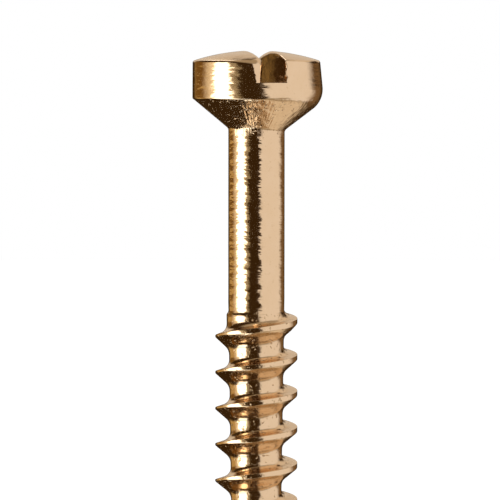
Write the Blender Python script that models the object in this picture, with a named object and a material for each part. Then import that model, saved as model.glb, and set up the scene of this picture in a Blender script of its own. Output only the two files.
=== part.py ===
"""A slotted wood screw with a raised countersunk head, a plain shank and a pointed thread.

The screw is one piece of metal, so the whole of it is one closed solid. +Z points out of the
head. The origin is on the axis, in the plane of the head's rim, and the slot runs along Y.
"""

import math

import bmesh
import bpy

MM = 0.001

# Thread, right-handed with one start
THREAD_DIAMETER = 5.0 * MM
PITCH = 2.2 * MM
CREST_LAND = 0.15 * MM
UPPER_FLANK = math.radians(20.0)  # from the horizontal to the flank that faces the head
LOWER_FLANK = math.radians(44.0)  # from the horizontal to the flank that faces the point
ROOT_BLEND = 0.15  # share of the thread's depth where the root's fillet meets the flanks
FIRST_CREST = 15.55 * MM  # below the rim, where the first full crest faces +X
RUN_IN_START = -0.47  # turns before that crest, where the thread rises from the shank
RUN_IN_TURNS = 0.38  # from no thread to its full depth

# Lengths down the axis, from the rim
LENGTH = 40.0 * MM
SHANK_END = 14.4 * MM
POINT_LENGTH = 4.6 * MM
POINT_CREST_LENGTH = 4.9 * MM
POINT_TIP = 0.25 * MM  # with no thread on it

# Diameters of the shank and of the thread's core
SHANK_DIAMETER = 3.42 * MM
CORE_TAPER = 0.03  # loss of diameter for each unit of length
POINT_END_RADIUS = 0.04 * MM
POINT_CREST_END_RADIUS = 0.06 * MM

# Head
HEAD_DIAMETER = 8.0 * MM
DOME_HEIGHT = 0.67 * MM
BAND_HEIGHT = 2.2 * MM
CONE_ANGLE = math.radians(40.0)  # below the horizontal
NECK_FILLET = 0.5 * MM
SLOT_WIDTH = 1.56 * MM
SLOT_FLOOR = 1.28 * MM  # below the rim

SEGMENTS = 40  # round the axis, and in each turn of the thread
DOME_RINGS = 5
FILLET_RINGS = 4
LEAST_STEP = 0.03 * MM  # a thread vertex this near the thread's end rings becomes part of them
SHARP_EDGE = math.radians(32.0)

BRASS = (0.78, 0.55, 0.36, 1.0)


def clear_scene():
    for item in list(bpy.data.objects):
        bpy.data.objects.remove(item, do_unlink=True)


def brass():
    material = bpy.data.materials.new("brass")
    material.use_nodes = True
    shader = material.node_tree.nodes["Principled BSDF"]
    shader.inputs["Base Color"].default_value = BRASS
    shader.inputs["Metallic"].default_value = 1.0
    shader.inputs["Roughness"].default_value = 0.22
    return material


def smooth_step(t):
    t = min(max(t, 0.0), 1.0)
    return t * t * (3.0 - 2.0 * t)


def dome_rings():
    """Radius and height of the rings from the top of the dome to the rim."""
    rim = HEAD_DIAMETER / 2
    sphere = (rim**2 + DOME_HEIGHT**2) / (2 * DOME_HEIGHT)
    half_angle = math.asin(rim / sphere)
    angles = [half_angle * step / DOME_RINGS for step in range(1, DOME_RINGS + 1)]
    drop = sphere - DOME_HEIGHT
    return [(sphere * math.sin(a), sphere * math.cos(a) - drop) for a in angles]


def neck_rings():
    """Radius and height of the rings of the fillet from the cone to the shank."""
    centre_r = SHANK_DIAMETER / 2 + NECK_FILLET
    tangent_r = centre_r - NECK_FILLET * math.sin(CONE_ANGLE)
    tangent_z = -BAND_HEIGHT - (HEAD_DIAMETER / 2 - tangent_r) * math.tan(CONE_ANGLE)
    centre_z = tangent_z - NECK_FILLET * math.cos(CONE_ANGLE)
    first, last = math.pi / 2 + CONE_ANGLE, math.pi
    rings = []
    for step in range(FILLET_RINGS + 1):
        angle = first + (last - first) * step / FILLET_RINGS
        ring = (
            centre_r + NECK_FILLET * math.cos(angle),
            centre_z + NECK_FILLET * math.sin(angle),
        )
        rings.append(ring)
    return rings


def smooth_rings():
    """Radius and height of every ring above the thread, down the head and the shank."""
    band_foot = (HEAD_DIAMETER / 2, -BAND_HEIGHT)
    shank_foot = (SHANK_DIAMETER / 2, -SHANK_END)
    return dome_rings() + [band_foot] + neck_rings() + [shank_foot]


def core_radius(depth):
    """Radius at the thread's root, at this depth below the rim."""
    straight = SHANK_DIAMETER / 2 - CORE_TAPER / 2 * (depth - SHANK_END)
    point_start = LENGTH - POINT_LENGTH
    widest = SHANK_DIAMETER / 2 - CORE_TAPER / 2 * (point_start - SHANK_END)
    left = (LENGTH - depth) / POINT_LENGTH
    return min(straight, POINT_END_RADIUS + (widest - POINT_END_RADIUS) * left)


def crest_radius(depth):
    """Radius at the thread's crest, at this depth below the rim."""
    full = THREAD_DIAMETER / 2
    left = (LENGTH - depth) / POINT_CREST_LENGTH
    return min(full, POINT_CREST_END_RADIUS + (full - POINT_CREST_END_RADIUS) * left)


def thread_rows():
    """Rows of one turn, each the distance below the crest's middle and the share of the depth."""
    depth = (THREAD_DIAMETER - SHANK_DIAMETER) / 2
    half_land = CREST_LAND / 2
    upper = depth * math.tan(UPPER_FLANK)
    lower = depth * math.tan(LOWER_FLANK)
    blend = ROOT_BLEND * depth
    upper_foot = -half_land - upper - blend
    lower_foot = half_land + lower + blend
    return [
        (upper_foot, 0.0),
        (-half_land - upper * (1.0 - ROOT_BLEND), ROOT_BLEND),
        (-half_land, 1.0),
        (half_land, 1.0),
        (half_land + lower * (1.0 - ROOT_BLEND), ROOT_BLEND),
        (lower_foot, 0.0),
        ((lower_foot + upper_foot + PITCH) / 2, 0.0),
    ]


def ring_of(bm, radius, height):
    """A level ring of vertices. Its columns are those of the thread, and go round as it does."""
    angles = [-2 * math.pi * column / SEGMENTS for column in range(SEGMENTS)]
    points = [(radius * math.cos(a), radius * math.sin(a), height) for a in angles]
    return [bm.verts.new(point) for point in points]


def join(bm, corners):
    """A face, unless its corners have met in a line or a point."""
    corners = list(dict.fromkeys(corners))
    if len(corners) > 2:
        bm.faces.new(corners)


def add_fan(bm, tip, ring):
    for column in range(SEGMENTS):
        join(bm, (tip, ring[column], ring[(column + 1) % SEGMENTS]))


def add_smooth_part(bm):
    """The head and the shank. It returns the vertices of the lowest ring."""
    rings = [ring_of(bm, radius, height) for radius, height in smooth_rings()]
    add_fan(bm, bm.verts.new((0.0, 0.0, DOME_HEIGHT)), rings[0])
    for above, below in zip(rings, rings[1:]):
        for column in range(SEGMENTS):
            after = (column + 1) % SEGMENTS
            join(bm, (above[column], above[after], below[after], below[column]))
    return rings[-1]


def thread_vertex(bm, column, row, shank_ring, tip_ring):
    """A vertex of the strip, or of the ring that the strip has run into."""
    offset, share = row
    turn = column / SEGMENTS
    depth = FIRST_CREST + PITCH * turn + offset
    if depth < SHANK_END + LEAST_STEP:
        return shank_ring[column % SEGMENTS]
    if depth > LENGTH - POINT_TIP - LEAST_STEP:
        return tip_ring[column % SEGMENTS]
    share *= smooth_step((turn - RUN_IN_START) / RUN_IN_TURNS)
    radius = core_radius(depth) + share * (crest_radius(depth) - core_radius(depth))
    angle = -2 * math.pi * turn
    return bm.verts.new((radius * math.cos(angle), radius * math.sin(angle), -depth))


def add_thread(bm, shank_ring):
    """The thread as one helical strip from the shank's last ring to the tip's ring."""
    tip_depth = LENGTH - POINT_TIP
    tip_ring = ring_of(bm, core_radius(tip_depth), -tip_depth)
    rows = thread_rows()
    first = -2 * SEGMENTS
    last = first + int((LENGTH - SHANK_END) / PITCH + 4) * SEGMENTS
    strip = []
    for column in range(first, last):
        strip.append([thread_vertex(bm, column, row, shank_ring, tip_ring) for row in rows])
    for left, right, left_below, right_below in zip(
        strip, strip[1:], strip[SEGMENTS:], strip[SEGMENTS + 1 :]
    ):
        left, right = left + left_below[:1], right + right_below[:1]
        for row in range(len(rows)):
            join(bm, (left[row], right[row], right[row + 1], left[row + 1]))
    add_fan(bm, bm.verts.new((0.0, 0.0, -LENGTH)), tip_ring)


def slot_cutter():
    """A block as wide as the slot, longer than the head and taller than the dome."""
    height = SLOT_FLOOR + 3 * DOME_HEIGHT
    bpy.ops.mesh.primitive_cube_add(size=1.0, location=(0.0, 0.0, height / 2 - SLOT_FLOOR))
    cutter = bpy.context.object
    cutter.name = "slot_cutter"
    cutter.scale = (SLOT_WIDTH, 1.5 * HEAD_DIAMETER, height)
    bpy.ops.object.transform_apply(location=False, rotation=False, scale=True)
    cutter.hide_render = True
    cutter.display_type = "WIRE"
    return cutter


def screw():
    bm = bmesh.new()
    shank_ring = add_smooth_part(bm)
    add_thread(bm, shank_ring)
    bmesh.ops.recalc_face_normals(bm, faces=bm.faces)
    mesh = bpy.data.meshes.new("screw")
    bm.to_mesh(mesh)
    bm.free()
    mesh.shade_smooth()
    mesh.set_sharp_from_angle(angle=SHARP_EDGE)
    mesh.materials.append(brass())
    body = bpy.data.objects.new("screw", mesh)
    bpy.context.collection.objects.link(body)
    cut = body.modifiers.new("slot", "BOOLEAN")
    cut.operation = "DIFFERENCE"
    cut.solver = "EXACT"
    cut.object = slot_cutter()
    return body


clear_scene()
screw()
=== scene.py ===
"""The looks of a slotted brass wood screw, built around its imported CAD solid.

The screw is one piece of metal, so one fine mesh stands for the CAD node. Lengths below are in
millimetres, in the CAD frame: +Z points out of the head, the origin is on the axis in the plane
of the head's rim, and the slot runs along Y.
"""

import math

import bmesh
import bpy
import numpy as np
from mathutils import Matrix, Vector, noise


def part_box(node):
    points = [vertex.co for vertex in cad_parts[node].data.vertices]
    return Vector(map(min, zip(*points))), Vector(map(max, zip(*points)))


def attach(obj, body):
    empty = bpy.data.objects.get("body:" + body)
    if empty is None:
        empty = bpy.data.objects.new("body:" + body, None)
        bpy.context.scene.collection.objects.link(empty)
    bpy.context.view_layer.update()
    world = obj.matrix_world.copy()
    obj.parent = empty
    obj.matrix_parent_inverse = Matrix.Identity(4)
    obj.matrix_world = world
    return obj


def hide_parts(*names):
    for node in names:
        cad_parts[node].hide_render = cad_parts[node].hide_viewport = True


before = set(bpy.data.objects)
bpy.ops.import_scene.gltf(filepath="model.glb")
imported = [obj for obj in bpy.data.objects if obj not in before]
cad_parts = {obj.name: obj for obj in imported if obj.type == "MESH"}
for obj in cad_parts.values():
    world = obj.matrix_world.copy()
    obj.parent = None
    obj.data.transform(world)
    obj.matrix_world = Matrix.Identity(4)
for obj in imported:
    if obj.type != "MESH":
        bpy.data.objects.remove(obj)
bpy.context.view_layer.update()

MM = 0.001
UP = 2  # index of the Z coordinate

# Head
RIM_RADIUS = 4.0
DOME_HEIGHT = 0.67
SLOT_HALF = 0.78
SLOT_FLOOR = -1.28
CREST_EDGE = 0.17  # radius of the edge from the dome to the band
SLOT_EDGES = (0.04, 0.42)  # radius of the edge from the dome to the slot's crisp and worn walls
CORNER_EDGES = (0.05, 0.55)  # that radius at the slot's crisp and worn corners
WORN_BLEND = 1.8  # radians over which a lobe goes from crisp to worn
CORNER_REACH = (0.6, 2.4)  # length over which those radii meet, at the same corners
UPRIGHT_RADII = (0.06, 0.34)  # of the upright edges in the slot's mouths, at the same corners
UPRIGHT_GROWTH = 0.30  # gain of the worn upright edge's radius from the slot's floor to the rim
LEAST_ROUND = 0.004  # of an upright edge, where its outline is moved in by more than its radius
EDGE_TURNS = (math.radians(71.0), math.radians(90.0))  # of the top edge, on bands and on walls
CORNER_TURN = math.radians(80.0)  # of both at the corners
BURR = 0.10  # height of the burrs on the crisp upright edges
BURR_REACH = 0.5  # across the edge
BURR_START = 0.1  # height above the slot's floor over which they grow
BURR_SCALE = 4.5  # waves of their noise in each millimetre
BURR_LINE = 2.0  # Y of the line along which that noise is read
BURR_FRACTAL = (1.0, 2.0, 3)  # its fall-off, change of scale and octaves
LEFT_WALL_IN = 0.07  # the -X wall stands this much nearer the axis
LEFT_WALL_LEAN = 0.19  # and its worn half this much nearer again at the rim

# Band, cone and neck: value where the head is crisp, then where it is flared and rounded
BAND_TOP = (3.88, 3.86)
BAND_CORNER = (3.89, 4.09)
BAND_DEPTH = (-2.23, -2.36)
BAND_RADIUS = (0.10, 1.5)
CONE_ANGLE = (math.radians(39.9), math.radians(37.3))
NECK_RADIUS = 0.28
FLARE_CENTRE = math.radians(-11.0)  # azimuth in the middle of the flared side
FLARE_HALF = math.radians(95.0)
FLARE_BLEND = math.radians(60.0)

# Shank and thread
SHANK_RADIUS = 1.71
SHANK_END = 14.4  # depth below the rim
COLLAR_TOP = 15.15  # depth of the step where rolling the thread raised the shank
COLLAR_FOOT = 16.3
COLLAR_ONSET = 0.22  # length of the step down the axis
COLLAR_FADE = 0.4  # length over which the collar fades from its foot
COLLAR_RISE = 0.12  # gain of radius on the collar
LENGTH = 40.0
THREAD_RADIUS = 2.5
PITCH = 2.2
CORE_TAPER = 0.029  # loss of diameter for each unit of length
FIRST_CREST = 15.55  # depth of the first full crest where it faces +X
DRUNKEN = 0.085  # the thread's advance wavers by this much within each turn
DRUNKEN_AZIMUTH = math.radians(14.0)
RUN_IN_START = -0.47  # turns before that crest, where the thread rises from the shank
RUN_IN_TURNS = 0.38  # from no thread to its full depth
CREST_LANDS = (0.03, 0.25)  # the crest is cut to a ridge on one side and left wide on the other
UPPER_FLANKS = (math.radians(20.0), math.radians(4.0))  # from the horizontal, on those sides
WIDE_AZIMUTH = math.radians(-45.0)  # azimuth of the wide side
LOWER_FLANK = math.radians(44.0)  # from the horizontal, on the side that faces the point
UPPER_ROOTS = (0.60, 0.46)  # radius of the fillet between the root and the upper flank, on those sides
LOWER_ROOT = 0.75
CREST_RADII = (0.03, 0.11)  # of the crest's upper and lower edge
POINT_LENGTH = 4.6
POINT_CREST_LENGTH = 4.9
POINT_TIP = 0.25  # with no thread on it
POINT_END_RADIUS = 0.04
POINT_CREST_END_RADIUS = 0.06
LEAST_STEP = 0.03  # a row this near the thread's end rings becomes part of them

# Mesh
LOBE_COLUMNS = 84
MOUTH_COLUMNS = 18
END_CROWDING = 0.7  # 0 spaces a lobe's columns evenly, 1 crowds them most at its corners
BAND_STEPS = 5  # from the slot's floor down to the band's lower edge
BAND_EDGE_STEPS = 10
CONE_STEPS = 12
NECK_STEPS = 8
SHANK_STEPS = 24
LOBE_STEPS = 12  # from the slot's floor up to the top edge
LOBE_EDGE_STEPS = 6
DOME_STEPS = 24
ROOT_ARC_STEPS = 6
FLANK_STEPS = 3
CREST_ARC_STEPS = 3
ROOT_STEPS = 4
WELD = 5e-8  # metres
SHARP_EDGE = math.radians(40.0)

# Marks and stains in the brass: heights in millimetres, scales in waves per millimetre
THREAD_ZONE = (-15.0, -15.4)  # heights between which the thread's marks come in
HEAD_ZONE = (-4.7, -4.2)
CONE_ZONE = (-2.2, -2.4)
RING_SCALES = (0.8, 0.8, 2.5)
RING_HEIGHTS = (0.072, 0.014)  # on the shank, then on the thread
RING_HEAD_SHARE = 0.5  # of the shank's ring height, on the head
LINE_SCALES = (22.0, 22.0, 1.0)  # waves for each unit of the direction from the axis
LINE_HEIGHT = 0.022
GRAIN_SCALE = 5.0
GRAIN_HEIGHTS = (0.002, 0.006)  # off the thread, then on it
DENT_SCALE = 2.4
DENT_HEIGHT = 0.04
PIT_SCALE = 4.0
PIT_LEVELS = (0.62, 0.72)  # of the noise, from no pit to a full one
PIT_DEPTH = 0.02
SPOT_STRENGTHS = (0.15, 0.6)  # off the thread, then on it
STAIN_SCALE = 1.3
BRASS_TINTS = ((0.845, 0.655, 0.455, 1.0), (0.80, 0.595, 0.38, 1.0))
SPOT_TINT = (0.42, 0.26, 0.10, 1.0)
STAIN_LEVELS = (0.3, 0.7)  # of the noise, where the roughness is least and most
ROUGHNESS = (0.10, 0.16)
THREAD_ROUGHNESS = 0.02  # added on the thread
CONE_ROUGHNESS = 0.03
SPOT_ROUGHNESS = 0.2

# Floor, in metres
FLOOR_RADIUS = 0.6
FLOOR_SEGMENTS = 96
FLOOR_TINT = (0.93, 0.93, 0.93, 1.0)

# Camera
CAMERA_AZIMUTH = math.radians(-15.8)
CAMERA_DISTANCE = 260.0
CAMERA_PITCH = math.radians(2.52)
CAMERA_LENS = 308.4
CAMERA_SENSOR = 36.0
CAMERA_AIM_LEFT = 0.39
CAMERA_CLIP = 10.0
CAMERA_ROLL = math.radians(0.044)


def blend(pair, share):
    """The pair's first value at share 0, its second at share 1."""
    return pair[0] + (pair[1] - pair[0]) * share


def smooth(t):
    """Smooth step from 0 at t = 0 to 1 at t = 1."""
    t = np.clip(t, 0.0, 1.0)
    return t * t * (3.0 - 2.0 * t)


# ---- Columns round the axis ------------------------------------------------------------------

HALF_LOBE = math.acos(SLOT_HALF / RIM_RADIUS)


def lobe_angles():
    """Angles from one slot corner of a lobe to the other, closer together at both corners."""
    s = np.linspace(1.0, -1.0, LOBE_COLUMNS + 1)
    crowded = (1.0 - END_CROWDING) * s + END_CROWDING * np.sin(s * math.pi / 2)
    return HALF_LOBE * crowded


def mouth_angles():
    """Angles across the slot's mouth, at equal steps in X."""
    x = np.linspace(SLOT_HALF, -SLOT_HALF, MOUTH_COLUMNS + 1)
    return -np.arccos(x / RIM_RADIUS)


def ring_angles():
    """Azimuths of one turn, falling, from the far corner of the +X lobe round to itself."""
    lobe, mouth = lobe_angles(), mouth_angles()
    turn = [lobe[:-1], mouth[:-1], lobe[:-1] - math.pi, mouth[:-1] - math.pi]
    return np.concatenate(turn + [lobe[:1] - 2 * math.pi])


RING = ring_angles()


def flare(azimuth):
    """0 where the head's lower edge is crisp, 1 where it is flared and rounded."""
    away = np.abs((azimuth - FLARE_CENTRE + math.pi) % (2 * math.pi) - math.pi)
    return smooth((FLARE_HALF - away) / FLARE_BLEND)


def band_radius(azimuth, z):
    share = flare(azimuth)
    top, corner = blend(BAND_TOP, share), blend(BAND_CORNER, share)
    return top + (corner - top) * z / blend(BAND_DEPTH, share)


def dome_height(x, y):
    sphere = (RIM_RADIUS**2 + DOME_HEIGHT**2) / (2 * DOME_HEIGHT)
    return np.sqrt(sphere**2 - x**2 - y**2) - (sphere - DOME_HEIGHT)


# ---- Smooth part: band, cone, neck and shank ---------------------------------------------------


def arc(start, direction, normal, radius, turn, steps):
    """Points of an arc that leaves start along direction and turns towards normal."""
    rows = []
    for step in range(steps + 1):
        angle = turn * step / steps
        along = np.sin(angle)[..., None] * direction
        across = (1.0 - np.cos(angle))[..., None] * normal
        rows.append(start + (along + across) * np.asarray(radius)[..., None])
    return rows


def round_corner(corner, into, out, radius, steps):
    """Points of a fillet at corner, between the directions into and out."""
    cosine = np.sum(into * out, axis=-1)
    turn = np.arccos(cosine)
    normal = (out - cosine[..., None] * into) / np.sin(turn)[..., None]
    start = corner - into * (radius * np.tan(turn / 2))[..., None]
    return arc(start, into, normal, radius, turn, steps)


def straight(start, end, steps):
    """Points between start and end, without both."""
    return [start + (end - start) * step / steps for step in range(1, steps)]


def unit(vector):
    return vector / np.linalg.norm(vector, axis=-1, keepdims=True)


def smooth_profile(azimuth):
    """(radius, height) of every row from the slot's floor to the shank's end, for each azimuth."""
    share = flare(azimuth)
    level = np.full_like(azimuth, SLOT_FLOOR)
    top = np.stack([band_radius(azimuth, level), level], axis=-1)
    corner = np.stack([blend(BAND_CORNER, share), blend(BAND_DEPTH, share)], axis=-1)
    angle = blend(CONE_ANGLE, share)
    cone = np.stack([-np.cos(angle), -np.sin(angle)], axis=-1)
    down = np.broadcast_to(np.array([0.0, -1.0]), cone.shape)
    shank = np.full_like(azimuth, SHANK_RADIUS)
    neck_z = corner[:, 1] - (corner[:, 0] - shank) * np.tan(angle)
    neck = np.stack([shank, neck_z], axis=-1)
    edge = round_corner(corner, unit(corner - top), cone, blend(BAND_RADIUS, share), BAND_EDGE_STEPS)
    fillet = round_corner(neck, cone, down, np.full_like(azimuth, NECK_RADIUS), NECK_STEPS)
    foot = np.stack([shank, np.full_like(azimuth, -SHANK_END)], axis=-1)
    rows = [top] + straight(top, edge[0], BAND_STEPS) + edge
    rows += straight(edge[-1], fillet[0], CONE_STEPS) + fillet
    rows += straight(fillet[-1], foot, SHANK_STEPS) + [foot]
    return np.array(rows)


def turned(radius, azimuth, z):
    """Points at these cylindrical coordinates."""
    return np.stack([radius * np.cos(azimuth), radius * np.sin(azimuth), z], axis=-1)


def smooth_part():
    rows = smooth_profile(RING)
    return turned(rows[..., 0], RING, rows[..., 1])


# ---- Lobes of the head, on both sides of the slot ----------------------------------------------


def rise(z):
    """0 at the slot's floor, 1 at the rim."""
    return smooth((z - SLOT_FLOOR) / -SLOT_FLOOR)


def wear(azimuth):
    """0 on a lobe's crisp half, 1 on its worn half."""
    return smooth(0.5 + azimuth / WORN_BLEND)


def corner_round(side, end, z):
    """Radius of the upright edge at one mouth of the slot, at height z."""
    crisp, worn = UPRIGHT_RADII
    if side == end:
        return worn + UPRIGHT_GROWTH * rise(z)
    return np.full_like(z, crisp)


def wall_shift(side, end, azimuth, z):
    """How much nearer the axis a slot wall stands than its plain place."""
    if side > 0:
        return 0.0
    return LEFT_WALL_IN + LEFT_WALL_LEAN * wear(side * end * azimuth) * rise(z)


def lobe_outline(side, end, azimuth, z, inset, wall):
    """X and Y of one half of a lobe's outline, on its band or on its slot wall.

    side is +1 for the lobe at +X, end is +1 for its +Y half. azimuth is a column's, from the
    lobe's middle towards that end, so 0 to HALF_LOBE. inset moves the outline inwards.
    """
    part_azimuth = np.where(side > 0, end * azimuth, math.pi - end * azimuth)
    corner_azimuth = HALF_LOBE if side > 0 else math.pi - HALF_LOBE
    radius = band_radius(part_azimuth, z)
    corner_radius = band_radius(end * corner_azimuth, z)
    plain_x = corner_radius * math.cos(HALF_LOBE)
    rho = corner_round(side, end, z)
    centre_x = plain_x - wall_shift(side, end, HALF_LOBE, z) + rho
    centre_y = np.sqrt((corner_radius - rho) ** 2 - centre_x**2)
    tangent = np.arctan2(centre_y, centre_x)
    middle = (tangent + math.pi) / 2
    left = np.maximum(rho - inset, LEAST_ROUND)
    if wall:
        y = radius * np.sin(azimuth)
        corner_y = corner_radius * math.sin(HALF_LOBE)
        beyond = (y - centre_y) / (corner_y - centre_y)
        x = plain_x - wall_shift(side, end, azimuth, z) + inset
        turn = math.pi + (middle - math.pi) * beyond
    else:
        x, y = (radius - inset) * np.cos(azimuth), (radius - inset) * np.sin(azimuth)
        beyond = (azimuth - tangent) / (HALF_LOBE - tangent)
        turn = tangent + (middle - tangent) * beyond
    rounded = beyond > 0.0
    x = np.where(rounded, centre_x + left * np.cos(turn), x)
    y = np.where(rounded, centre_y + left * np.sin(turn), y)
    return side * x, end * y


def outline(side, z, inset, wall):
    """X and Y of a lobe's whole band or wall outline, in the order of its columns."""
    azimuth = lobe_angles()
    x, y = np.zeros_like(z), np.zeros_like(z)
    for end in (1, -1):
        part = azimuth * end >= 0.0
        part_z = z[..., part]
        away = np.broadcast_to(np.abs(azimuth[part]), part_z.shape)
        found = lobe_outline(side, end, away, part_z, inset[..., part], wall)
        x[..., part], y[..., part] = found
    return x, y


def corner_shares(side):
    """Two shares in each column: 1 away from the lobe's corners, and 1 on its worn half."""
    azimuth = lobe_angles()
    worn = wear(azimuth * side)
    reach = blend(CORNER_REACH, worn)
    return smooth((HALF_LOBE - np.abs(azimuth)) * RIM_RADIUS / reach), worn


def edge_radius(side, wall):
    """Radius of a lobe's top edge in each column, on its band or on its slot wall."""
    away, worn = corner_shares(side)
    own = blend(SLOT_EDGES, worn) if wall else CREST_EDGE
    at_corner = blend(CORNER_EDGES, worn)
    return at_corner + (own - at_corner) * away


def lobe_side(side, wall):
    """Rows of a lobe's band or wall, from the slot's floor up round its top edge."""
    radius = edge_radius(side, wall)
    away = corner_shares(side)[0]
    turn_end = blend((CORNER_TURN, EDGE_TURNS[wall]), away)
    zero = np.zeros_like(away)
    end_inset = radius * (1.0 - np.cos(turn_end))
    x, y = outline(side, zero, end_inset, wall)
    start_z = dome_height(x, y) - radius * np.sin(turn_end)
    rows = []
    for step in range(LOBE_STEPS):
        z = SLOT_FLOOR + (start_z - SLOT_FLOOR) * step / LOBE_STEPS
        rows.append((z, zero))
    for step in range(LOBE_EDGE_STEPS + 1):
        angle = turn_end * step / LOBE_EDGE_STEPS
        rows.append((start_z + radius * np.sin(angle), radius * (1.0 - np.cos(angle))))
    z = np.array([row[0] for row in rows])
    inset = np.array([row[1] for row in rows])
    x, y = outline(side, z, inset, wall)
    x[-1], y[-1] = outline(side, zero, inset[-1], wall)
    return np.stack([x, y, z], axis=-1)


def lobe_cap(band, wall):
    """The dome between the top rows of a lobe's wall and band."""
    shares = 0.5 - 0.5 * np.cos(np.linspace(0.0, math.pi, DOME_STEPS + 1))
    rows = wall[-1] + (band[-1] - wall[-1]) * shares[:, None, None]
    rows[1:-1, :, UP] = dome_height(rows[1:-1, :, 0], rows[1:-1, :, 1])
    return rows


def burr(points):
    """Roughens the crisp upright edges in the slot's mouths, as a saw leaves them."""
    x, y, z = points[..., 0], points[..., 1], points[..., 2]
    corner_y = RIM_RADIUS * math.sin(HALF_LOBE)
    for end in (1, -1):
        near = np.hypot(x + end * SLOT_HALF, y - end * corner_y)
        strength = smooth(1.0 - near / BURR_REACH) * smooth((z - SLOT_FLOOR) / BURR_START)
        places = [Vector((end, BURR_LINE, level * BURR_SCALE)) for level in z.ravel()]
        height = [noise.fractal(place, *BURR_FRACTAL) for place in places]
        push = BURR * strength * np.array(height).reshape(z.shape)
        x += end * push
        y += end * push
    return points


def head():
    """The lobes and the slot's floor, with thin strips that join them to the smooth part."""
    patches = []
    feet = {}
    level = np.full_like(RING, SLOT_FLOOR)
    base = turned(band_radius(RING, level), RING, level)
    for side in (1, -1):
        band, wall = lobe_side(side, False), lobe_side(side, True)
        band, wall = burr(band), burr(wall)
        patches += [band, wall, lobe_cap(band, wall)]
        feet[side] = wall[0]
        first = 0 if side > 0 else LOBE_COLUMNS + MOUTH_COLUMNS
        ring = base[first : first + LOBE_COLUMNS + 1]
        own = band[0] if side > 0 else band[0][::-1]
        patches.append(np.array([own, ring]))
    across = np.linspace(0.0, 1.0, MOUTH_COLUMNS + 1)[:, None, None]
    floor = feet[1] + (feet[-1] - feet[1]) * across
    patches.append(floor)
    near = base[LOBE_COLUMNS : LOBE_COLUMNS + MOUTH_COLUMNS + 1]
    far = base[2 * LOBE_COLUMNS + MOUTH_COLUMNS :][::-1]
    patches.append(np.array([floor[:, -1], near]))
    patches.append(np.array([floor[:, 0], far]))
    return patches


# ---- Thread ------------------------------------------------------------------------------------


def core_radius(depth):
    """Radius at the thread's root, at this depth below the rim."""
    tapered = SHANK_RADIUS - CORE_TAPER / 2 * (depth - SHANK_END)
    widest = SHANK_RADIUS - CORE_TAPER / 2 * (LENGTH - POINT_LENGTH - SHANK_END)
    left = (LENGTH - depth) / POINT_LENGTH
    collar = smooth((depth - COLLAR_TOP) / COLLAR_ONSET) - smooth((depth - COLLAR_FOOT) / COLLAR_FADE)
    tapered = tapered + COLLAR_RISE * collar
    return np.minimum(tapered, POINT_END_RADIUS + (widest - POINT_END_RADIUS) * left)


def crest_radius(depth):
    """Radius at the thread's crest, at this depth below the rim."""
    left = (LENGTH - depth) / POINT_CREST_LENGTH
    end = POINT_CREST_END_RADIUS
    return np.minimum(THREAD_RADIUS, end + (THREAD_RADIUS - end) * left)


def thread_side(sign, land, flank, root_radius, edge):
    """Rows from the root to the crest on one flank: the distance below the crest's middle, and
    the share of the depth."""
    deep = THREAD_RADIUS - SHANK_RADIUS
    turn = math.pi / 2 - flank
    top = land / 2 + edge * math.sin(turn)
    top_up = deep - edge * (1.0 - math.cos(turn))
    foot = top + top_up * math.tan(flank) + root_radius * math.tan(turn / 2)
    rows = []
    for step in range(ROOT_ARC_STEPS + 1):
        angle = turn * step / ROOT_ARC_STEPS
        up = root_radius * (1.0 - math.cos(angle))
        rows.append((foot - root_radius * math.sin(angle), up))
    start, start_up = rows[-1]
    for step in range(1, FLANK_STEPS + 1):
        share = step / FLANK_STEPS
        rows.append((blend((start, top), share), blend((start_up, top_up), share)))
    for step in range(1, CREST_ARC_STEPS + 1):
        angle = turn * (1.0 - step / CREST_ARC_STEPS)
        up = deep - edge * (1.0 - math.cos(angle))
        rows.append((land / 2 + edge * math.sin(angle), up))
    return [(sign * along, up / deep) for along, up in rows]


def thread_rows(land, flank, upper_root):
    """Rows of one turn, from the root above the crest to the root below it."""
    upper = thread_side(-1, land, flank, upper_root, CREST_RADII[0])
    lower = thread_side(1, land, LOWER_FLANK, LOWER_ROOT, CREST_RADII[1])
    root = (lower[0][0], upper[0][0] + PITCH)
    middle = [(blend(root, step / ROOT_STEPS), 0.0) for step in range(1, ROOT_STEPS + 1)]
    return np.array(upper + [(0.0, 1.0)] + lower[::-1] + middle)


def thread_azimuths():
    """Azimuths of the strip's columns, falling, from above the run-in to past the tip."""
    first = -2
    last = first + int((LENGTH - SHANK_END) / PITCH + 4)
    azimuth = np.concatenate([RING[:-1] - 2 * math.pi * turn for turn in range(first, last)])
    return np.append(azimuth, RING[0] - 2 * math.pi * last)


def thread():
    """The thread as one helical strip, with the tip."""
    narrow, wide = (thread_rows(*sides) for sides in zip(CREST_LANDS, UPPER_FLANKS, UPPER_ROOTS))
    azimuth = thread_azimuths()
    turn = -azimuth / (2 * math.pi)
    wideness = 0.5 + 0.5 * np.cos(azimuth - WIDE_AZIMUTH)
    rows = narrow[:, :, None] + (wide - narrow)[:, :, None] * wideness
    waver = DRUNKEN * np.cos(azimuth - DRUNKEN_AZIMUTH)
    depth = FIRST_CREST + PITCH * turn + waver + rows[:, 0]
    run_in = smooth((turn - RUN_IN_START) / RUN_IN_TURNS)
    share = rows[:, 1] * run_in
    low, high = SHANK_END, LENGTH - POINT_TIP
    above, below = depth < low + LEAST_STEP, depth > high - LEAST_STEP
    depth = np.where(above, low, np.where(below, high, depth))
    share = np.where(above | below, 0.0, share)
    radius = core_radius(depth) + share * (crest_radius(depth) - core_radius(depth))
    strip = turned(radius, azimuth[None, :], -depth)
    tip = turned(np.full_like(RING, core_radius(high)), RING, np.full_like(RING, -high))
    return [strip, np.array([tip, np.broadcast_to([0.0, 0.0, -LENGTH], tip.shape)])]


# ---- Mesh --------------------------------------------------------------------------------------


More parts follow.
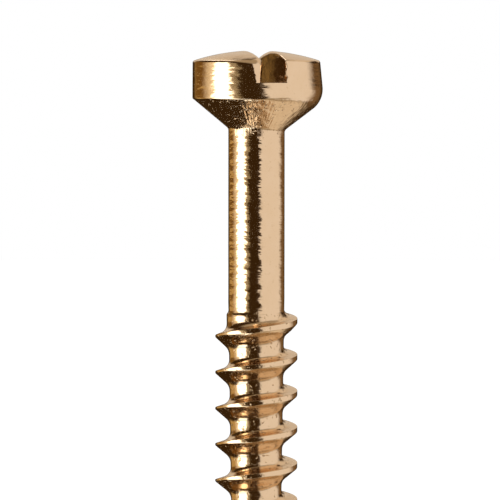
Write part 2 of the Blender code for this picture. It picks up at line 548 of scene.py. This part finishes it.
def grid_faces(rows, columns, first):
    """Corners of the faces of a grid of points that are numbered from first."""
    index = first + np.arange(rows * columns).reshape(rows, columns)
    corners = (index[:-1, :-1], index[1:, :-1], index[1:, 1:], index[:-1, 1:])
    return np.stack(corners, axis=-1).reshape(-1, 4)


def join_patches(patches):
    """One closed mesh of the patches, which meet edge to edge."""
    points, faces, first = [], [], 0
    for patch in patches:
        points.append(patch.reshape(-1, 3))
        faces.append(grid_faces(*patch.shape[:2], first))
        first += len(points[-1])
    mesh = bpy.data.meshes.new("wood_screw")
    mesh.from_pydata(np.concatenate(points) * MM, [], np.concatenate(faces).tolist())
    bm = bmesh.new()
    bm.from_mesh(mesh)
    bmesh.ops.remove_doubles(bm, verts=bm.verts, dist=WELD)
    bmesh.ops.recalc_face_normals(bm, faces=bm.faces)
    bm.to_mesh(mesh)
    bm.free()
    mesh.shade_smooth()
    mesh.set_sharp_from_angle(angle=SHARP_EDGE)
    return mesh


# ---- Node helpers ------------------------------------------------------------------------------


class Nodes:
    """Adds nodes to a tree. An input is a socket or a plain value."""

    def __init__(self, tree):
        self.tree = tree

    def add(self, kind, inputs=None, output=0, **settings):
        node = self.tree.nodes.new(kind)
        for name, value in settings.items():
            setattr(node, name, value)
        for key, value in (inputs or {}).items():
            if isinstance(value, bpy.types.NodeSocket):
                self.tree.links.new(value, node.inputs[key])
            else:
                node.inputs[key].default_value = value
        return node.outputs[output]

    def maths(self, operation, *values):
        return self.add("ShaderNodeMath", dict(enumerate(values)), operation=operation)

    def dot(self, vector, constant):
        inputs = {0: vector, 1: constant}
        return self.add("ShaderNodeVectorMath", inputs, "Value", operation="DOT_PRODUCT")

    def stretch(self, vector, scale):
        inputs = {0: vector, 1: scale}
        return self.add("ShaderNodeVectorMath", inputs, operation="MULTIPLY")

    def ramp(self, value, low, high, out_low=0.0, out_high=1.0):
        """Smooth step of value from low to high."""
        inputs = {"Value": value, 1: low, 2: high, 3: out_low, 4: out_high}
        return self.add("ShaderNodeMapRange", inputs, interpolation_type="SMOOTHSTEP")

    def mix(self, share, a, b):
        inputs = {0: share, 6: a, 7: b}
        return self.add("ShaderNodeMix", inputs, 2, data_type="RGBA")

    def mix_value(self, share, a, b):
        inputs = {0: share, 2: a, 3: b}
        return self.add("ShaderNodeMix", inputs, data_type="FLOAT")

    def noise(self, vector, scale, detail, roughness):
        inputs = {"Vector": vector, "Scale": scale, "Detail": detail, "Roughness": roughness}
        return self.add("ShaderNodeTexNoise", inputs)


# ---- Brass -------------------------------------------------------------------------------------


def tool_marks(nodes, place, head, cone, thread):
    """Height in millimetres of the fine marks of drawing, turning and rolling."""
    facing = nodes.stretch(place, (1.0, 1.0, 0.0))
    facing = nodes.add("ShaderNodeVectorMath", {0: facing}, operation="NORMALIZE")
    rings = nodes.noise(nodes.stretch(place, RING_SCALES), 1.0, 2.0, 0.5)
    rings = nodes.maths("MULTIPLY", rings, nodes.mix_value(thread, *RING_HEIGHTS))
    rings = nodes.maths("MULTIPLY", rings, nodes.mix_value(head, 1.0, RING_HEAD_SHARE))
    rings = nodes.mix_value(cone, rings, 0.0)
    lines = nodes.noise(nodes.stretch(facing, LINE_SCALES), 1.0, 1.0, 0.4)
    lines = nodes.maths("MULTIPLY", lines, nodes.mix_value(cone, 0.0, LINE_HEIGHT))
    grain = nodes.noise(place, GRAIN_SCALE, 1.0, 0.5)
    grain = nodes.maths("MULTIPLY", grain, nodes.mix_value(thread, *GRAIN_HEIGHTS))
    dents = nodes.noise(place, DENT_SCALE, 1.0, 0.5)
    dents = nodes.maths("MULTIPLY", dents, nodes.mix_value(cone, 0.0, DENT_HEIGHT))
    grain = nodes.maths("ADD", grain, dents)
    return nodes.maths("ADD", nodes.maths("ADD", rings, lines), grain)


def brass():
    material = bpy.data.materials.new("brass_worn")
    material.use_nodes = True
    nodes = Nodes(material.node_tree)
    shader = material.node_tree.nodes["Principled BSDF"]
    place = nodes.stretch(nodes.add("ShaderNodeTexCoord", output="Object"), (1.0 / MM,) * 3)
    height = nodes.dot(place, (0.0, 0.0, 1.0))
    thread = nodes.ramp(height, *THREAD_ZONE)
    head = nodes.ramp(height, *HEAD_ZONE)
    cone = nodes.maths("MULTIPLY", head, nodes.ramp(height, *CONE_ZONE))
    stains = nodes.noise(place, STAIN_SCALE, 4.0, 0.6)
    pits = nodes.ramp(nodes.noise(place, PIT_SCALE, 2.0, 0.6), *PIT_LEVELS)
    spots = nodes.maths("MULTIPLY", pits, nodes.mix_value(thread, *SPOT_STRENGTHS))
    colour = nodes.mix(spots, nodes.mix(stains, *BRASS_TINTS), SPOT_TINT)
    rough = nodes.ramp(stains, *STAIN_LEVELS, *ROUGHNESS)
    rough = nodes.maths("ADD", rough, nodes.mix_value(thread, 0.0, THREAD_ROUGHNESS))
    rough = nodes.maths("ADD", rough, nodes.mix_value(cone, 0.0, CONE_ROUGHNESS))
    rough = nodes.maths("ADD", rough, nodes.maths("MULTIPLY", spots, SPOT_ROUGHNESS))
    pitted = nodes.maths("MAXIMUM", thread, cone)
    pits = nodes.maths("MULTIPLY", pits, nodes.mix_value(pitted, 0.0, -PIT_DEPTH))
    marks = nodes.maths("ADD", tool_marks(nodes, place, head, cone, thread), pits)
    bump = nodes.add("ShaderNodeBump", {"Height": marks, "Strength": 1.0, "Distance": MM})
    links = material.node_tree.links
    links.new(colour, shader.inputs["Base Color"])
    links.new(rough, shader.inputs["Roughness"])
    links.new(bump, shader.inputs["Normal"])
    shader.inputs["Metallic"].default_value = 1.0
    return material


# ---- Light, floor and camera -------------------------------------------------------------------

CAMERA_RIGHT = Vector((math.cos(CAMERA_AZIMUTH), math.sin(CAMERA_AZIMUTH), 0.0))
CAMERA_BACK = Vector((math.sin(CAMERA_AZIMUTH), -math.cos(CAMERA_AZIMUTH), 0.0))

# Cards and lights round the screw, each over the ones before it: middle and half width in
# degrees of azimuth, from the camera to its right; soft edge; lowest and highest sine of
# elevation; soft edge of those; colour; and how far the middle and the half width change
# from below the horizon up to it
CARDS = (
    ("ceiling", 0.0, 180.0, 5.0, 0.82, 1.1, 0.10, (0.42, 0.34, 0.24), 0.0, 0.0),
    ("low card", 102.0, 82.0, 8.0, -1.1, -0.60, 0.12, (0.44, 0.35, 0.24), 0.0, 0.0),
    ("low side card", 128.0, 34.0, 16.0, -1.1, -0.68, 0.10, (0.80, 0.68, 0.54), 0.0, 0.0),
    ("right wall", 128.0, 24.0, 12.0, -0.5, 0.1, 0.10, (0.20, 0.115, 0.048), 0.0, 0.0),
    ("gold wall", -115.0, 30.0, 8.0, -0.45, 0.3, 0.10, (0.55, 0.36, 0.13), 0.0, 0.0),
    ("brown wall", -119.0, 26.0, 8.0, -0.045, 0.3, 0.02, (0.19, 0.092, 0.018), 0.0, 0.0),
    ("bounce", -38.0, 9.0, 4.0, -0.5, 0.3, 0.1, (0.36, 0.29, 0.18), -6.0, 0.0),
    ("key glow", -88.0, 14.0, 14.0, -0.5, 0.3, 0.05, (0.92, 0.76, 0.54), -2.0, 0.0),
    ("key light", -66.0, 22.5, 3.0, -0.55, 0.3, 0.10, (3.5, 3.3, 3.0), 0.0, -8.0),
    ("low key light", -66.0, 24.0, 4.0, -1.1, -0.6, 0.08, (2.4, 2.4, 2.3), 0.0, 0.0),
    ("far white card", 95.0, 24.0, 13.0, -0.6, 0.78, 0.10, (0.90, 0.83, 0.78), -5.0, 0.0),
    ("white card", 57.0, 38.0, 3.0, -0.6, 0.78, 0.10, (0.90, 0.83, 0.78), -6.0, 3.0),
    ("high side card", 138.0, 34.0, 12.0, 0.44, 0.84, 0.09, (0.76, 0.64, 0.52), 0.0, 0.0),
    ("backdrop", 180.0, 28.0, 5.0, 0.09, 0.54, 0.04, (0.68, 0.57, 0.45), 0.0, 0.0),
    ("back light", -166.0, 4.5, 2.0, 0.50, 0.80, 0.03, (4.5, 4.3, 4.0), 0.0, 0.0),
)
DARK = (0.042, 0.021, 0.006)  # between the cards
HORIZON = (-0.04, 0.0)  # sines of elevation between which the middles and half widths change
EVEN_LIGHT = (1.15, 1.15, 1.15, 1.0)
BACKGROUND = (1.0, 1.0, 1.0, 1.0)


def card_share(nodes, direction, height, level, card):
    """1 in the directions that see the card, 0 outside its soft edges."""
    middle, half, soft, low, high, soft_z, drift, growth = card
    angle = math.radians(middle)
    towards = CAMERA_BACK * math.cos(angle) + CAMERA_RIGHT * math.sin(angle)
    across = CAMERA_RIGHT * math.cos(angle) - CAMERA_BACK * math.sin(angle)
    sideways = nodes.maths("ARCTAN2", nodes.dot(direction, across), nodes.dot(direction, towards))
    shift = nodes.maths("MULTIPLY", level, math.radians(drift))
    away = nodes.maths("ABSOLUTE", nodes.maths("SUBTRACT", sideways, shift))
    wider = nodes.maths("MULTIPLY", level, math.radians(growth))
    away = nodes.maths("SUBTRACT", away, wider)
    half, soft = math.radians(half), math.radians(soft)
    share = nodes.ramp(away, half + soft, half - soft)
    share = nodes.maths("MULTIPLY", share, nodes.ramp(height, low - soft_z, low + soft_z))
    return nodes.maths("MULTIPLY", share, nodes.ramp(height, high + soft_z, high - soft_z))


def add_world():
    """Reflections see the cards, diffuse surfaces an even light, and the camera plain white."""
    world = bpy.data.worlds.new("studio")
    bpy.context.scene.world = world
    world.use_nodes = True
    world.cycles.sampling_method = "NONE"
    tree = world.node_tree
    nodes = Nodes(tree)
    direction = nodes.add("ShaderNodeTexCoord", output="Generated")
    height = nodes.dot(direction, (0.0, 0.0, 1.0))
    level = nodes.ramp(height, *HORIZON)
    colour = (*DARK, 1.0)
    for name, *shape, light, drift, growth in CARDS:
        share = card_share(nodes, direction, height, level, (*shape, drift, growth))
        share.node.label = name
        colour = nodes.mix(share, colour, (*light, 1.0))
    diffuse_ray = nodes.add("ShaderNodeLightPath", output="Is Diffuse Ray")
    camera_ray = diffuse_ray.node.outputs["Is Camera Ray"]
    colour = nodes.mix(diffuse_ray, colour, EVEN_LIGHT)
    colour = nodes.mix(camera_ray, colour, BACKGROUND)
    tree.links.new(colour, tree.nodes["Background"].inputs["Color"])


def add_floor(level):
    bm = bmesh.new()
    bmesh.ops.create_circle(bm, cap_ends=True, segments=FLOOR_SEGMENTS, radius=FLOOR_RADIUS)
    mesh = bpy.data.meshes.new("floor")
    bm.to_mesh(mesh)
    bm.free()
    floor = bpy.data.objects.new("floor", mesh)
    floor.location = (0.0, 0.0, level)
    material = bpy.data.materials.new("floor_paper")
    material.use_nodes = True
    shader = material.node_tree.nodes["Principled BSDF"]
    shader.inputs["Base Color"].default_value = FLOOR_TINT
    shader.inputs["Roughness"].default_value = 1.0
    shader.inputs["Specular IOR Level"].default_value = 0.0
    mesh.materials.append(material)
    bpy.context.collection.objects.link(floor)
    floor.visible_glossy = False


def add_camera():
    data = bpy.data.cameras.new("camera")
    data.lens = CAMERA_LENS
    data.sensor_width = CAMERA_SENSOR
    data.clip_start = CAMERA_CLIP * MM
    camera = bpy.data.objects.new("camera", data)
    bpy.context.collection.objects.link(camera)
    distance = CAMERA_DISTANCE * MM
    place = CAMERA_BACK * distance
    aim = CAMERA_RIGHT * (-CAMERA_AIM_LEFT * MM)
    aim.z = -distance * math.tan(CAMERA_PITCH)
    turn = (aim - place).to_track_quat("-Z", "Y").to_matrix()
    roll = Matrix.Rotation(CAMERA_ROLL, 3, "Z")
    camera.matrix_world = Matrix.Translation(place) @ (turn @ roll).to_4x4()
    bpy.context.scene.camera = camera


def add_screw():
    patches = [smooth_part()] + head() + thread()
    mesh = join_patches(patches)
    mesh.materials.append(brass())
    piece = bpy.data.objects.new("wood_screw", mesh)
    bpy.context.collection.objects.link(piece)
    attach(piece, "root")
    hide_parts("screw")


bpy.context.scene.view_settings.view_transform = "Standard"
add_camera()
add_world()
add_floor(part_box("screw")[0].z)
add_screw()
